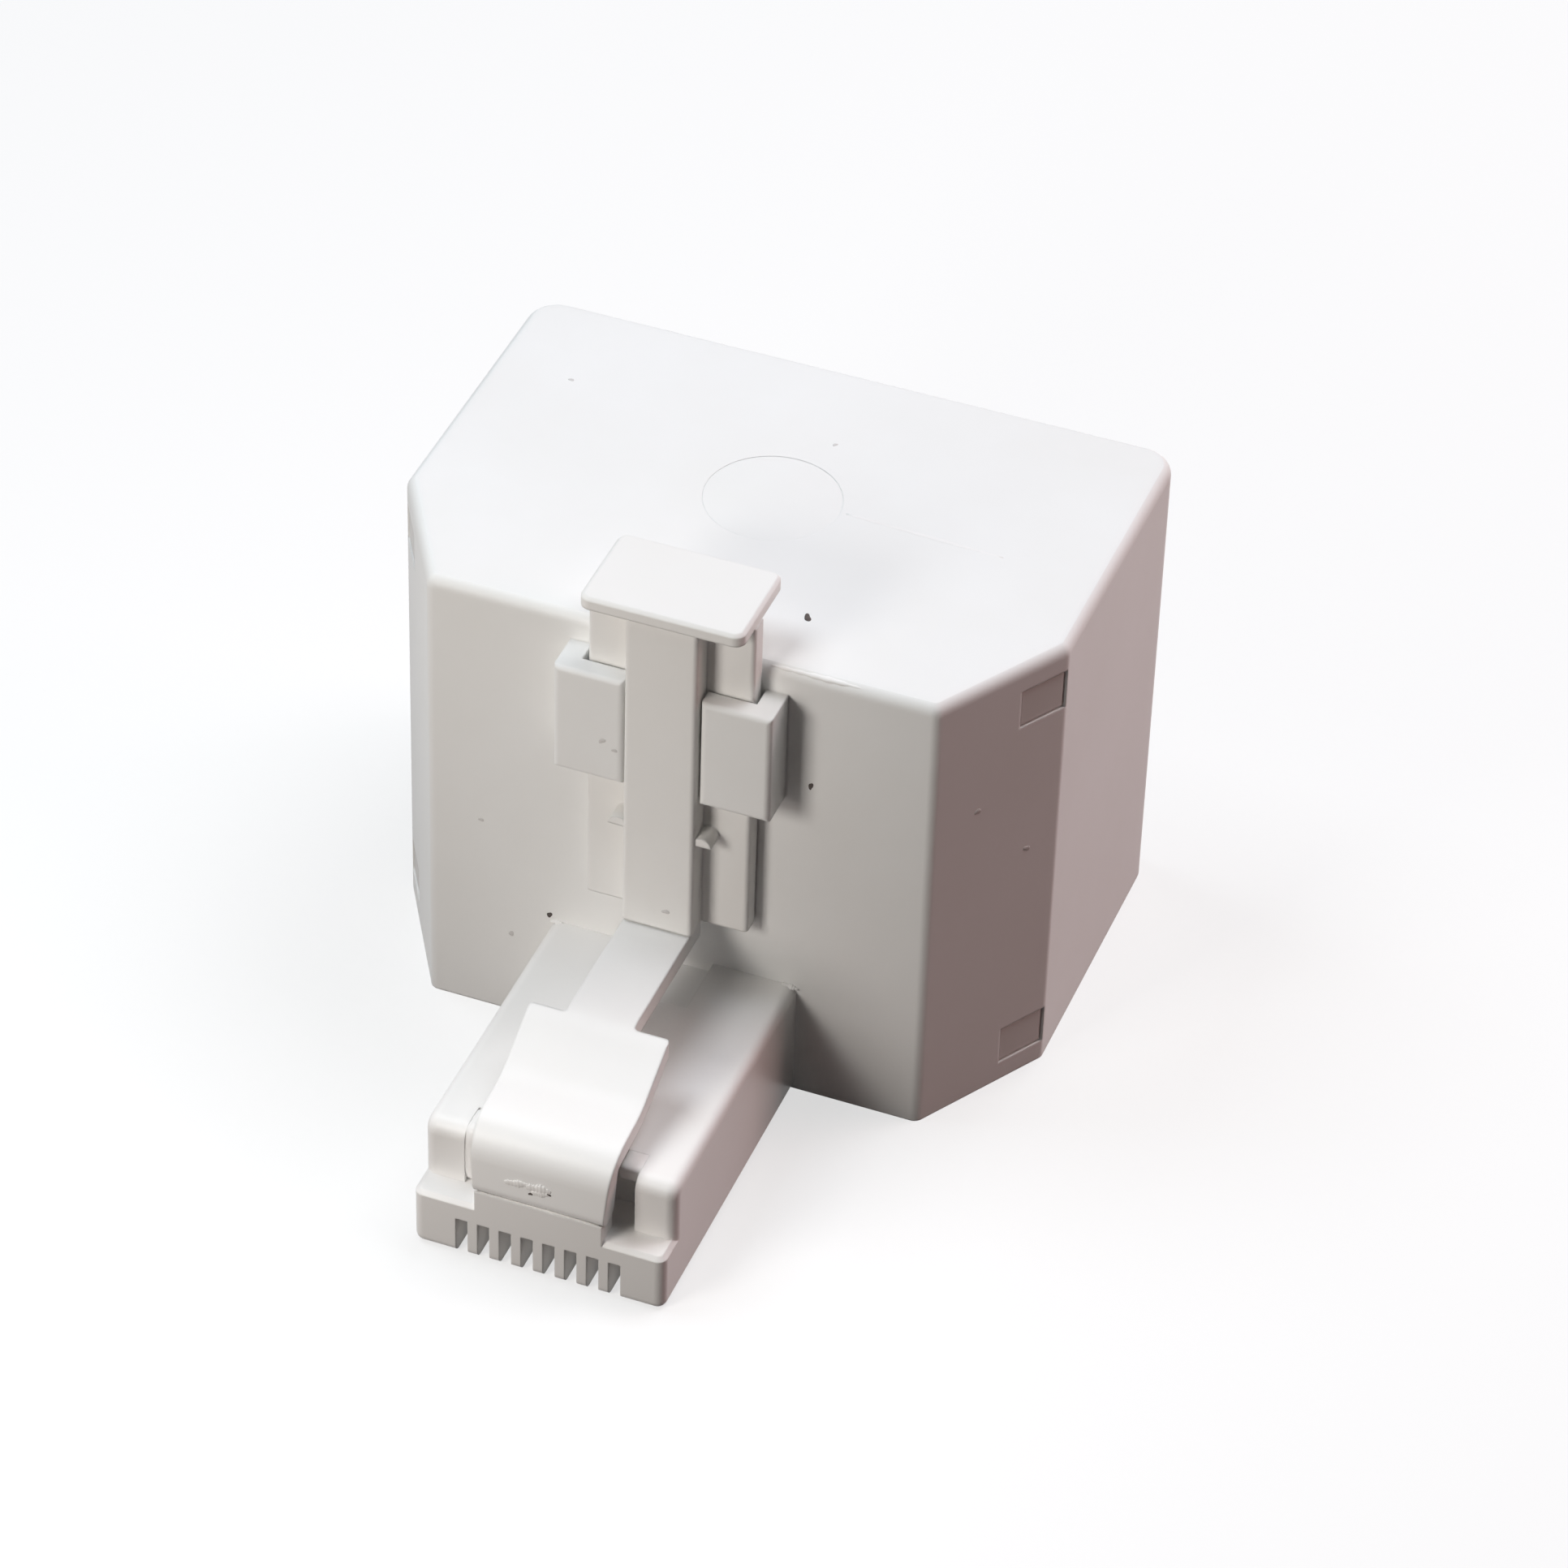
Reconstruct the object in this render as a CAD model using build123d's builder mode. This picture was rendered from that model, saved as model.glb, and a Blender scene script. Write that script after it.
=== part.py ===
from build123d import *

import os
from math import hypot

# Two-way modular splitter: a boxed pair of sockets behind one eight-position plug,
# whose latch is pressed by a slider on the housing's front face. Millimetres, +Z up,
# the plug points along -Y. The origin is at mid-length, on the underside.

os.makedirs("parts", exist_ok=True)

# Housing shell, open at the back
housing_width = 30.8
housing_depth = 21.3
housing_height = 23.6
corner_cut_width = 3.7
corner_cut_depth = 6.25
front_wall = 1.4
side_wall = 1.8
top_wall = 1.4
floor_wall = 1.0
top_edge_radius = 0.65
ejector_mark_radius = 3.1
ejector_mark_depth = 0.06
ejector_mark_back = 10.95
back_corner_radius = 1.5
front_edge_radius = 0.5

# Snap windows in the cut-off corners, and the arms that catch in them
window_height = 2.0
window_depth = 2.2
arm_thickness = 1.1
arm_recess = 0.08
snap_clearance = 0.1

# Plug
plug_width = 11.68
plug_length = 15.5
plug_height = 6.0
nose_height = 3.0
nose_depth = 1.3
nose_corner_radius = 0.45
nose_edge_radius = 0.4
nose_bevel = 0.2
rail_width = 1.9
rail_front_radius = 0.7
rail_edge_radius = 0.5
root_pocket_depth = 1.6
tail_pocket_depth = 0.5
tail_pocket_length = 3.2
tail_pocket_clearance = 0.3

# Tenon that holds the plug in the housing's front wall
tenon_inset = 0.84
tenon_bottom = 1.2
tenon_height = 4.0
tenon_reach = 1.4
barb_height = 2.0
barb_width = 0.5
tenon_clearance = 0.1

# Plug contacts and their slots
contact_count = 8
contact_pitch = 1.016
contact_thickness = 0.35
slot_width = 0.556
slot_height = 2.0
slot_length = 6.0
blade_setback = 2.0
blade_length = 3.6
blade_bottom = 0.6
blade_top = 2.4
blade_corner_radius = 0.5
riser_length = 1.2
tail_height = 0.5
lower_tail_level = 3.0
upper_tail_level = 4.1
tail_overrun = 0.8
contact_clearance = 0.08

# Latch, hinged at its root on the nose
latch_width = 6.5
latch_root_width = 5.9
latch_thickness = 0.85
latch_front_rise = 1.2
latch_front_lean = 0.3
latch_middle_rise = 1.55
latch_tail_rise = 3.15
latch_ramp_start = 3.7
latch_wide_length = 6.9
latch_tail_width = 3.15
latch_tail_gap = 0.9
latch_nose_radius = 1.9
latch_bend_radius = 3.0
latch_edge_radius = 0.2
latch_corner_radius = 0.2
root_radius = 0.6
root_rise = 1.3
seat_height = 0.9
hinge_clearance = 0.05

# Release slider and the clips that guide it
flange_width = 7.6
flange_thickness = 0.9
stem_width = 3.3
stem_depth = 1.2
slider_clearance = 0.1
latch_clearance = 0.1
pad_width = 7.46
pad_thickness = 0.6
pad_lift = 2.4
pad_overhang = 0.2
pad_back = 2.5
pad_corner_radius = 0.5
pad_bevel = 0.15
slider_edge_radius = 0.2
bump_radius = 0.45
bump_reach = 0.75
bump_depth = 1.0
bump_drop = 2.3
clip_height = 5.6
clip_drop = 1.4
clip_leg = 1.0
clip_lip = 0.9
clip_side_clearance = 0.2
clip_stem_clearance = 0.12
clip_edge_radius = 0.25

# Rear socket block
block_clearance = 0.1
block_recess = 0.15
socket_side_wall = 0.85
socket_divider = 1.5
socket_height = 6.9
socket_floor = 9.0
socket_depth = 11.8
socket_end_wall = 1.2
keyway_width = 6.4
keyway_depth = 1.7
keyway_slot_width = 3.4
keyway_slot_depth = 1.7
mouth_bevel = 0.3
mouth_wall = 1.3
block_wall = 1.0

# Contact carriers and socket springs
carrier_inset = 0.35
carrier_height = 2.1
carrier_length = 9.4
carrier_drop = 0.5
carrier_clearance = 0.05
comb_tooth_width = 0.44
comb_tooth_height = 1.9
comb_tooth_length = 1.5
spring_width = 0.4
spring_thickness = 0.3
lower_spring_level = 1.1
upper_spring_level = 2.0
spring_bend_radius = 0.4
spring_bend_reach = 0.9
spring_return = 0.1
spring_tip_drop = 2.15
spring_tip_setback = 0.9
spring_clearance = 0.06

# Circuit board on two pegs of the socket block
board_side_gap = 0.4
board_height = 17.6
board_bottom = 2.2
board_thickness = 1.0
boss_radius = 1.6
boss_length = 1.6
peg_radius = 0.8
peg_level = 12.0
peg_overrun = 0.5
peg_clearance = 0.05
pin_clearance = 0.1

# Places along Y are given as distances behind the housing's front face
front_y = (plug_length - housing_depth) / 2
plan = Plane((0, front_y, 0))
side = Plane((0, front_y, 0), x_dir=(0, 1, 0), z_dir=(1, 0, 0))

half_width = housing_width / 2
front_half = half_width - corner_cut_width
ceiling = housing_height - top_wall
window_levels = (floor_wall, ceiling - window_height)

rail_front = nose_depth - plug_length
rail_inner = plug_width / 2 - rail_width
tenon_half = plug_width / 2 - tenon_inset
tenon_end = front_wall + tenon_reach
pivot = (root_radius - plug_length, nose_height + root_rise)
tail_levels = (lower_tail_level, upper_tail_level)

tail_top = plug_height + latch_tail_rise
stem_bottom = tail_top + latch_clearance
flange_front = -(slider_clearance + flange_thickness)
stem_front = flange_front - stem_depth
pad_bottom = housing_height + pad_lift
clip_top = housing_height - clip_drop
clip_bottom = clip_top - clip_height
lip_back = flange_front - slider_clearance
clip_front = lip_back - clip_lip
leg_inner = flange_width / 2 + clip_side_clearance
lip_edge = stem_width / 2 + clip_stem_clearance

block_half = half_width - side_wall - block_clearance
block_bottom = floor_wall + block_clearance
block_top = ceiling - block_clearance
block_back = housing_depth - block_recess
socket_width = block_half - socket_side_wall - socket_divider / 2
socket_pitch = socket_width + socket_divider
socket_end = block_back - socket_depth
block_front = socket_end - socket_end_wall
socket_top = socket_floor + socket_height
carrier_bottom = socket_top + carrier_drop
carrier_top = carrier_bottom + carrier_height
carrier_width = socket_width - 2 * carrier_inset
spring_levels = (lower_spring_level, upper_spring_level)
keyway_bottom = socket_floor - keyway_depth - keyway_slot_depth
board_back = block_front - boss_length
board_front = board_back - board_thickness
arm_inner = block_half - arm_thickness
board_width = 2 * (arm_inner - board_side_gap)

sockets = {"left": -socket_pitch / 2, "right": socket_pitch / 2}
contact_places = [(i - (contact_count - 1) / 2) * contact_pitch for i in range(contact_count)]


def facing(depth):
    """Plane parallel to the front face and depth behind it: x across, y up, normal to the front."""
    return Plane((0, front_y + depth, 0), x_dir=(1, 0, 0), z_dir=(0, -1, 0))


def corner_line(inset, depth):
    """Half-width at a depth on the cut-off corner, with the corner's face set in by inset."""
    slope = corner_cut_width / corner_cut_depth
    shift = inset * hypot(corner_cut_width, corner_cut_depth) / corner_cut_depth
    return front_half + slope * depth - shift


def housing_outline(front, corner, sides):
    """Plan outline of the housing, set in by its front, corner and side walls and open-ended behind."""
    slope = corner_cut_width / corner_cut_depth
    side_x = half_width - sides
    front_x = corner_line(corner, front)
    corner_depth = (side_x - corner_line(corner, 0)) / slope
    right = [(front_x, front), (side_x, corner_depth), (side_x, housing_depth)]
    left = [(-x, depth) for x, depth in reversed(right)]
    return right + left


def span(low, high):
    """Middle and length of a stretch."""
    return (low + high) / 2, high - low


def save(part, name):
    part.label = name
    export_step(part, f"parts/{name}.step")


# Housing shell: outline drawn up, edges rounded, hollowed from the back
with BuildPart() as shell:
    with BuildSketch(plan):
        with BuildLine():
            Polyline(*housing_outline(0, 0, 0), close=True)
        make_face()
    extrude(amount=housing_height)
    uprights = shell.edges().filter_by(Axis.Z).group_by(Axis.Y)
    fillet(uprights[0] + uprights[1], front_edge_radius)
    fillet(shell.edges().filter_by(Axis.Z).group_by(Axis.Y)[-1], back_corner_radius)
    fillet(shell.faces().sort_by(Axis.Z)[-1].edges(), top_edge_radius)
    with BuildSketch(plan.offset(housing_height)):
        with Locations((0, ejector_mark_back)):
            Circle(ejector_mark_radius)
    extrude(amount=-ejector_mark_depth, mode=Mode.SUBTRACT)

    with BuildSketch(plan.offset(floor_wall)):
        with BuildLine():
            Polyline(*housing_outline(front_wall, front_wall, side_wall), close=True)
        make_face()
    extrude(amount=ceiling - floor_wall, mode=Mode.SUBTRACT)

    tenon_middle = tenon_bottom + tenon_height / 2
    with BuildSketch(facing(0)):
        with Locations((0, tenon_middle)):
            Rectangle(2 * (tenon_half + tenon_clearance), tenon_height + 2 * tenon_clearance)
    extrude(amount=-front_wall, mode=Mode.SUBTRACT)

    with BuildSketch(facing(corner_cut_depth)):
        for level in window_levels:
            with Locations((-half_width, level + window_height / 2), (half_width, level + window_height / 2)):
                Rectangle(2 * corner_cut_width, window_height)
    extrude(amount=window_depth, mode=Mode.SUBTRACT)

# L-shaped guide clips, moulded on the front face
with BuildPart() as clips:
    with BuildSketch(plan.offset(clip_bottom)):
        with BuildLine():
            Polyline(
                (leg_inner, 0),
                (leg_inner, lip_back),
                (lip_edge, lip_back),
                (lip_edge, clip_front),
                (leg_inner + clip_leg, clip_front),
                (leg_inner + clip_leg, 0),
                close=True,
            )
        make_face()
    extrude(amount=clip_height)
    front_edges = clips.faces().sort_by(Axis.Y)[0].edges()
    fillet(front_edges, clip_edge_radius)
    mirror(about=Plane.YZ)
with BuildPart() as housing:
    add(shell.part)
    add(clips.part)
save(housing.part, "housing_shell")


def contact_outline(tail_level, gap):
    """Side view of a plug contact, grown by gap: a blade, a riser and a tail that runs to the board."""
    blade_front = blade_setback - plug_length
    blade_back = blade_front + blade_length
    riser_front = blade_back - riser_length
    tail_low = tail_level - tail_height / 2 - gap
    tail_high = tail_level + tail_height / 2 + gap
    tail_end = board_back + tail_overrun
    return [
        (blade_front - gap, blade_bottom - gap),
        (blade_back + gap, blade_bottom - gap),
        (blade_back + gap, tail_low),
        (tail_end, tail_low),
        (tail_end, tail_high),
        (riser_front - gap, tail_high),
        (riser_front - gap, blade_top + gap),
        (blade_front - gap, blade_top + gap),
    ]


# Plug body: side view drawn across its width, then the pockets for the latch, slots and tenon
with BuildPart() as plug:
    with BuildSketch(side):
        with BuildLine():
            Polyline(
                (-plug_length, 0),
                (-plug_length, nose_height),
                (rail_front, nose_height),
                (rail_front, plug_height),
                (0, plug_height),
                (0, 0),
                close=True,
            )
        make_face()
    extrude(amount=plug_width / 2, both=True)
    rail_edges = plug.faces().sort_by(Axis.Z)[-1].edges()
    fillet(rail_edges.filter_by(Axis.X).sort_by(Axis.Y)[0], rail_front_radius)
    fillet(plug.faces().sort_by(Axis.Z)[-1].edges().filter_by(Axis.Y), rail_edge_radius)
    nose_uprights = plug.edges().filter_by(Axis.Z).group_by(Axis.Y)[0]
    fillet(nose_uprights, nose_corner_radius)
    nose_edge = plug.faces().sort_by(Axis.Z)[0].edges().filter_by(Axis.X).sort_by(Axis.Y)[0]
    fillet(nose_edge, nose_edge_radius)
    nose_rim = plug.edges().filter_by_position(Axis.Z, nose_height, nose_height).group_by(Axis.Y)[0]
    chamfer(nose_rim, nose_bevel)

    root_pocket_middle, root_pocket_height = span(nose_height, plug_height)
    with BuildSketch(facing(rail_front + root_pocket_depth)):
        with Locations((0, root_pocket_middle)):
            Rectangle(2 * rail_inner, root_pocket_height)
    extrude(amount=root_pocket_depth, mode=Mode.SUBTRACT)
    with BuildSketch(facing(0)):
        with Locations((0, plug_height - tail_pocket_depth / 2)):
            Rectangle(latch_tail_width + 2 * tail_pocket_clearance, tail_pocket_depth)
    extrude(amount=tail_pocket_length, mode=Mode.SUBTRACT)

    seat_middle, seat_span = span(nose_height - nose_bevel, nose_height + seat_height)
    with BuildSketch(side):
        with Locations((pivot[0], seat_middle)):
            Rectangle(2 * root_radius, seat_span)
        with Locations(pivot):
            Circle(root_radius + hinge_clearance, mode=Mode.SUBTRACT)
    extrude(amount=latch_root_width / 2, both=True)

    with BuildSketch(facing(0)):
        with Locations((0, tenon_middle)):
            Rectangle(2 * tenon_half, tenon_height)
    extrude(amount=-tenon_end)
    with BuildSketch(plan.offset(tenon_middle - barb_height / 2)):
        with BuildLine():
            Polyline(
                (tenon_half, front_wall + tenon_clearance),
                (tenon_half + barb_width, front_wall + tenon_clearance),
                (tenon_half, tenon_end),
                close=True,
            )
        make_face()
        mirror(about=Plane.YZ)
    extrude(amount=barb_height)

    with BuildSketch(facing(-plug_length)):
        with Locations((0, slot_height / 2)):
            with GridLocations(contact_pitch, 1, contact_count, 1):
                Rectangle(slot_width, slot_height)
    extrude(amount=-slot_length, mode=Mode.SUBTRACT)
    for i, x in enumerate(contact_places):
        with BuildSketch(side.offset(x)):
            with BuildLine():
                Polyline(*contact_outline(tail_levels[i % 2], contact_clearance), close=True)
            make_face()
        extrude(amount=slot_width / 2, both=True, mode=Mode.SUBTRACT)
save(plug.part, "plug_body")

# Plug contacts: stamped blades, with tails on two levels
for i, x in enumerate(contact_places):
    with BuildPart() as contact:
        with BuildSketch(side.offset(x)) as blade:
            with BuildLine():
                Polyline(*contact_outline(tail_levels[i % 2], 0), close=True)
            make_face()
            fillet(blade.vertices().group_by(Axis.Y)[0], blade_corner_radius)
        extrude(amount=contact_thickness / 2, both=True)
    save(contact.part, f"plug_contact_{i + 1}")

# Latch: side view from the rounded root to the tail, narrowed at the root and behind the shoulders
latch_front_top = plug_height + latch_front_rise
latch_middle_top = plug_height + latch_middle_rise
latch_ramp = latch_ramp_start - plug_length
latch_shoulder = latch_wide_length - plug_length
with BuildPart() as latch:
    with BuildSketch(side):
        with BuildLine():
            FilletPolyline(
                (-plug_length, pivot[1]),
                (latch_front_lean - plug_length, latch_front_top),
                (latch_ramp, latch_middle_top),
                (latch_shoulder, tail_top),
                (-latch_tail_gap, tail_top),
                (-latch_tail_gap, tail_top - latch_thickness),
                (latch_shoulder, tail_top - latch_thickness),
                (latch_ramp, latch_middle_top - latch_thickness),
                (2 * root_radius - plug_length, latch_front_top - latch_thickness),
                (2 * root_radius - plug_length, pivot[1]),
                radius=[
                    latch_nose_radius,
                    latch_bend_radius,
                    latch_bend_radius,
                    latch_edge_radius,
                    latch_edge_radius,
                    latch_bend_radius,
                    latch_bend_radius,
                    latch_edge_radius,
                ],
            )
            ThreePointArc(
                (2 * root_radius - plug_length, pivot[1]),
                (pivot[0], pivot[1] - root_radius),
                (-plug_length, pivot[1]),
            )
        make_face()
    extrude(amount=latch_width / 2, both=True)
    with BuildSketch(facing(0)):
        with BuildLine():
            Polyline(
                (-latch_root_width / 2, nose_height),
                (-latch_width / 2, latch_front_top),
                (-latch_width / 2, tail_top),
                (latch_width / 2, tail_top),
                (latch_width / 2, latch_front_top),
                (latch_root_width / 2, nose_height),
                close=True,
            )
        make_face()
    extrude(amount=plug_length, mode=Mode.INTERSECT)
    with BuildSketch(plan):
        with BuildLine():
            FilletPolyline(
                (latch_width / 2, -plug_length),
                (latch_width / 2, latch_shoulder),
                (latch_tail_width / 2, latch_shoulder),
                (latch_tail_width / 2, 0),
                radius=latch_corner_radius,
            )
            mirror(about=Plane.YZ)
            Line((-latch_width / 2, -plug_length), (latch_width / 2, -plug_length))
            Line((-latch_tail_width / 2, 0), (latch_tail_width / 2, 0))
        make_face()
    extrude(amount=housing_height, mode=Mode.INTERSECT)
save(latch.part, "plug_latch")

# Release slider: flange behind the clips' lips, stem between them, thumb pad over the housing
with BuildPart() as slider:
    flange_middle, flange_height = span(stem_bottom, pad_bottom)
    with BuildSketch(facing(flange_front)):
        with Locations((0, flange_middle)):
            Rectangle(flange_width, flange_height)
    extrude(amount=-flange_thickness)
    with BuildSketch(facing(flange_front)):
        with Locations((0, flange_middle)):
            Rectangle(stem_width, flange_height)
    extrude(amount=stem_depth)
    stem_edges = slider.edges().filter_by(Axis.Z).group_by(Axis.Y)[0]
    flange_sides = slider.edges().filter_by(Axis.Z).group_by(Axis.X)
    flange_edges = [edges.sort_by(Axis.Y)[0] for edges in (flange_sides[0], flange_sides[-1])]
    fillet([*stem_edges, *flange_edges], slider_edge_radius)
    pad_middle, pad_length = span(stem_front - pad_overhang, pad_back)
    with BuildSketch(plan.offset(pad_bottom)):
        with Locations((0, pad_middle)):
            RectangleRounded(pad_width, pad_length, pad_corner_radius)
    extrude(amount=pad_thickness)
    chamfer(slider.faces().sort_by(Axis.Z)[-1].edges(), pad_bevel)
    bump_place = stem_width / 2 + bump_reach - bump_radius
    bump_level = clip_bottom - bump_drop
    with BuildSketch(facing(flange_front)):
        with Locations((-bump_place, bump_level), (bump_place, bump_level)):
            Circle(bump_radius)
        with Locations((0, bump_level - bump_radius / 2)):
            Rectangle(flange_width, bump_radius, mode=Mode.SUBTRACT)
    extrude(amount=bump_depth)
save(slider.part, "release_slider")

# Socket block: two sockets with latch keyways, pockets for the carriers, four snap arms
with BuildPart() as block:
    block_middle, block_height = span(block_bottom, block_top)
    with BuildSketch(facing(block_back)):
        with Locations((0, block_middle)):
            Rectangle(2 * block_half, block_height)
    extrude(amount=block_back - block_front)
    arm_front = corner_cut_depth - window_depth + snap_clearance
    arm_catch = corner_cut_depth - snap_clearance
    for level in window_levels:
        with BuildSketch(plan.offset(level + snap_clearance)):
            with BuildLine():
                Polyline(
                    (arm_inner, socket_end),
                    (arm_inner, arm_front),
                    (corner_line(arm_recess, arm_front), arm_front),
                    (corner_line(arm_recess, arm_catch), arm_catch),
                    (block_half, arm_catch),
                    (block_half, socket_end),
                    close=True,
                )
            make_face()
            mirror(about=Plane.YZ)
        extrude(amount=window_height - 2 * snap_clearance)

    socket_middle = socket_floor + socket_height / 2
    keyway_middle, keyway_height = span(socket_floor - keyway_depth, socket_middle)
    slot_middle, slot_drop = span(keyway_bottom, socket_middle)
    with BuildSketch(facing(block_back)):
        for x in sockets.values():
            with Locations((x, socket_middle)):
                Rectangle(socket_width, socket_height)
            with Locations((x, keyway_middle)):
                Rectangle(keyway_width, keyway_height)
            with Locations((x, slot_middle)):
                Rectangle(keyway_slot_width, slot_drop)
    extrude(amount=socket_depth, mode=Mode.SUBTRACT)
    for mouth in block.faces().sort_by(Axis.Y)[-1].inner_wires():
        chamfer(mouth.edges(), mouth_bevel)

    pocket_top = carrier_top + carrier_clearance
    carrier_pocket_middle, carrier_pocket_height = span(socket_top, pocket_top)
    upper_middle, upper_height = span(pocket_top + block_wall, block_top - block_wall)
    lower_middle, lower_height = span(block_bottom + block_wall, keyway_bottom - block_wall)
    with BuildSketch(facing(block_front)):
        for x in sockets.values():
            with Locations((x, carrier_pocket_middle)):
                Rectangle(carrier_width + 2 * carrier_clearance, carrier_pocket_height)
            with Locations((x, upper_middle)):
                Rectangle(socket_width, upper_height)
            with Locations((x, lower_middle)):
                Rectangle(socket_width, lower_height)
    extrude(amount=block_front - block_back + mouth_wall, mode=Mode.SUBTRACT)

    with BuildSketch(facing(block_front)):
        for x in sockets.values():
            with Locations((x, peg_level)):
                Circle(boss_radius)
    extrude(amount=boss_length)
    with BuildSketch(facing(board_back)):
        for x in sockets.values():
            with Locations((x, peg_level)):
                Circle(peg_radius)
    extrude(amount=board_thickness + peg_overrun)
save(block.part, "socket_block")

# Contact carriers: bars over the sockets, bored for the springs, with a comb for their tips
for name, place in sockets.items():
    with BuildPart() as carrier:
        carrier_middle = (carrier_bottom + carrier_top) / 2
        with BuildSketch(facing(block_front)):
            with Locations((place, carrier_middle)):
                Rectangle(carrier_width, carrier_height)
        extrude(amount=-carrier_length)
        with BuildSketch(facing(socket_end)):
            with Locations((place, carrier_bottom - comb_tooth_height / 2)):
                with GridLocations(contact_pitch, 1, contact_count + 1, 1):
                    Rectangle(comb_tooth_width, comb_tooth_height)
        extrude(amount=-comb_tooth_length)
        with BuildSketch(facing(block_front)):
            for i, x in enumerate(contact_places):
                with Locations((place + x, socket_top + spring_levels[i % 2])):
                    Rectangle(spring_width + 2 * spring_clearance, spring_thickness + 2 * spring_clearance)
        extrude(amount=-carrier_length, mode=Mode.SUBTRACT)
    save(carrier.part, f"{name}_contact_carrier")

# Socket springs: wires from the board, through the carrier, bent back and down into the socket
spring_start = board_front - tail_overrun
spring_bend = block_front + carrier_length + spring_bend_reach
for name, place in sockets.items():
    for i, x in enumerate(contact_places):
        level = socket_top + spring_levels[i % 2]
        with BuildPart() as spring:
            with BuildLine(side.offset(place + x)) as route:
                FilletPolyline(
                    (spring_start, level),
                    (spring_bend, level),
                    (spring_bend, socket_top + spring_return),
                    (socket_end + spring_tip_setback, socket_top - spring_tip_drop),
                    radius=spring_bend_radius,
                )
            with BuildSketch(Plane(route.line @ 0, x_dir=(1, 0, 0), z_dir=route.line % 0)):
                Rectangle(spring_width, spring_thickness)
            sweep()
        save(spring.part, f"{name}_socket_spring_{i + 1}")

# Circuit board: stands across the housing, on the block's pegs
with BuildPart() as board:
    with BuildSketch(facing(board_back)):
        with Locations((0, board_bottom + board_height / 2)):
            Rectangle(board_width, board_height)
        for x in sockets.values():
            with Locations((x, peg_level)):
                Circle(peg_radius + peg_clearance, mode=Mode.SUBTRACT)
        for i, x in enumerate(contact_places):
            with Locations((x, tail_levels[i % 2])):
                Rectangle(
                    contact_thickness + 2 * pin_clearance,
                    tail_height + 2 * pin_clearance,
                    mode=Mode.SUBTRACT,
                )
            for place in sockets.values():
                with Locations((place + x, socket_top + spring_levels[i % 2])):
                    Rectangle(
                        spring_width + 2 * pin_clearance,
                        spring_thickness + 2 * pin_clearance,
                        mode=Mode.SUBTRACT,
                    )
    extrude(amount=board_thickness)
save(board.part, "circuit_board")
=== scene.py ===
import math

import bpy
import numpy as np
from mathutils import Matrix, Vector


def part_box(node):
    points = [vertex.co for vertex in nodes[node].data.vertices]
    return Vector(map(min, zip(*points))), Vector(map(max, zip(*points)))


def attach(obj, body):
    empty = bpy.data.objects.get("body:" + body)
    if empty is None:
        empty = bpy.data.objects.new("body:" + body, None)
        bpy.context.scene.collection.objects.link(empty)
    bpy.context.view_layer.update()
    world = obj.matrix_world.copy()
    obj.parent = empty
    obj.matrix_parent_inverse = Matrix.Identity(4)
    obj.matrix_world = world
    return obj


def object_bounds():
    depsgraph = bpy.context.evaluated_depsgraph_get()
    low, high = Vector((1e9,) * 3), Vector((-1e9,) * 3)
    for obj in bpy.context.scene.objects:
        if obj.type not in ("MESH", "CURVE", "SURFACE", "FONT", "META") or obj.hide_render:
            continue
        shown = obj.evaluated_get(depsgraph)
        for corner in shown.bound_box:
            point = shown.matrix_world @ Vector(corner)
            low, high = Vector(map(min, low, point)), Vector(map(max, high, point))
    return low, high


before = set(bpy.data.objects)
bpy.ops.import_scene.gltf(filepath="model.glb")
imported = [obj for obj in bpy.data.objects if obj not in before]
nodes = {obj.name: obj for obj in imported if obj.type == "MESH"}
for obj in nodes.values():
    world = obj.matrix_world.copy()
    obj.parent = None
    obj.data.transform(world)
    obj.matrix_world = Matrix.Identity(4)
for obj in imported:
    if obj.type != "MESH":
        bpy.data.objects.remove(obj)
cad_low, cad_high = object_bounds()

# %% [markdown]
# # A two-way modular adapter in Blender
# The solids come from the CAD frame and stay as they are. This lesson gives them their
# plastics and metals, adds the small marks that moulding and use leave on such a part,
# and sets up a small photo studio. Blender works in metres. Sizes and places are written
# in millimetres below, and MM turns them into metres.

MM = 0.001
cad_size = (np.array(cad_high) - np.array(cad_low)) / MM
print("CAD nodes:", len(nodes), "size in mm:", cad_size.round(2))

# %% [markdown]
# ## Colour
# Colours are read off a screen as sRGB hex codes, but the shader works with linear light.
# One function does the change, so every material below can be written in hex.


# %% Hex to linear
def linear(code):
    """sRGB to linear: a channel c is c / 12.92 up to 0.04045, and ((c + 0.055) / 1.055) ** 2.4 above."""
    channels = np.array([int(code[i : i + 2], 16) for i in (1, 3, 5)]) / 255
    values = np.where(channels <= 0.04045, channels / 12.92, ((channels + 0.055) / 1.055) ** 2.4)
    return (*values.tolist(), 1.0)


print("white ABS in linear light:", [round(c, 3) for c in linear("#EFEDE9")])

# %% [markdown]
# ## Shader nodes
# A material is a small graph. Writing each node by hand takes many lines, so one function
# adds a node of any kind, sets its options, and sets or links its inputs. The last node of
# each graph is its output.


# %% One function for every node
def add(tree, kind, inputs=None, **options):
    """Adds a node, sets its options, and gives each named or numbered input a value or a link."""
    node = tree.nodes.new(kind)
    for key, value in options.items():
        setattr(node, key, value)
    for key, value in (inputs or {}).items():
        if isinstance(value, bpy.types.NodeSocket):
            tree.links.new(value, node.inputs[key])
        else:
            node.inputs[key].default_value = value
    return node


def new_material(name):
    """A node material and its empty tree."""
    material = bpy.data.materials.new(name)
    material.use_nodes = True
    tree = material.node_tree
    tree.nodes.clear()
    return material, tree


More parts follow.
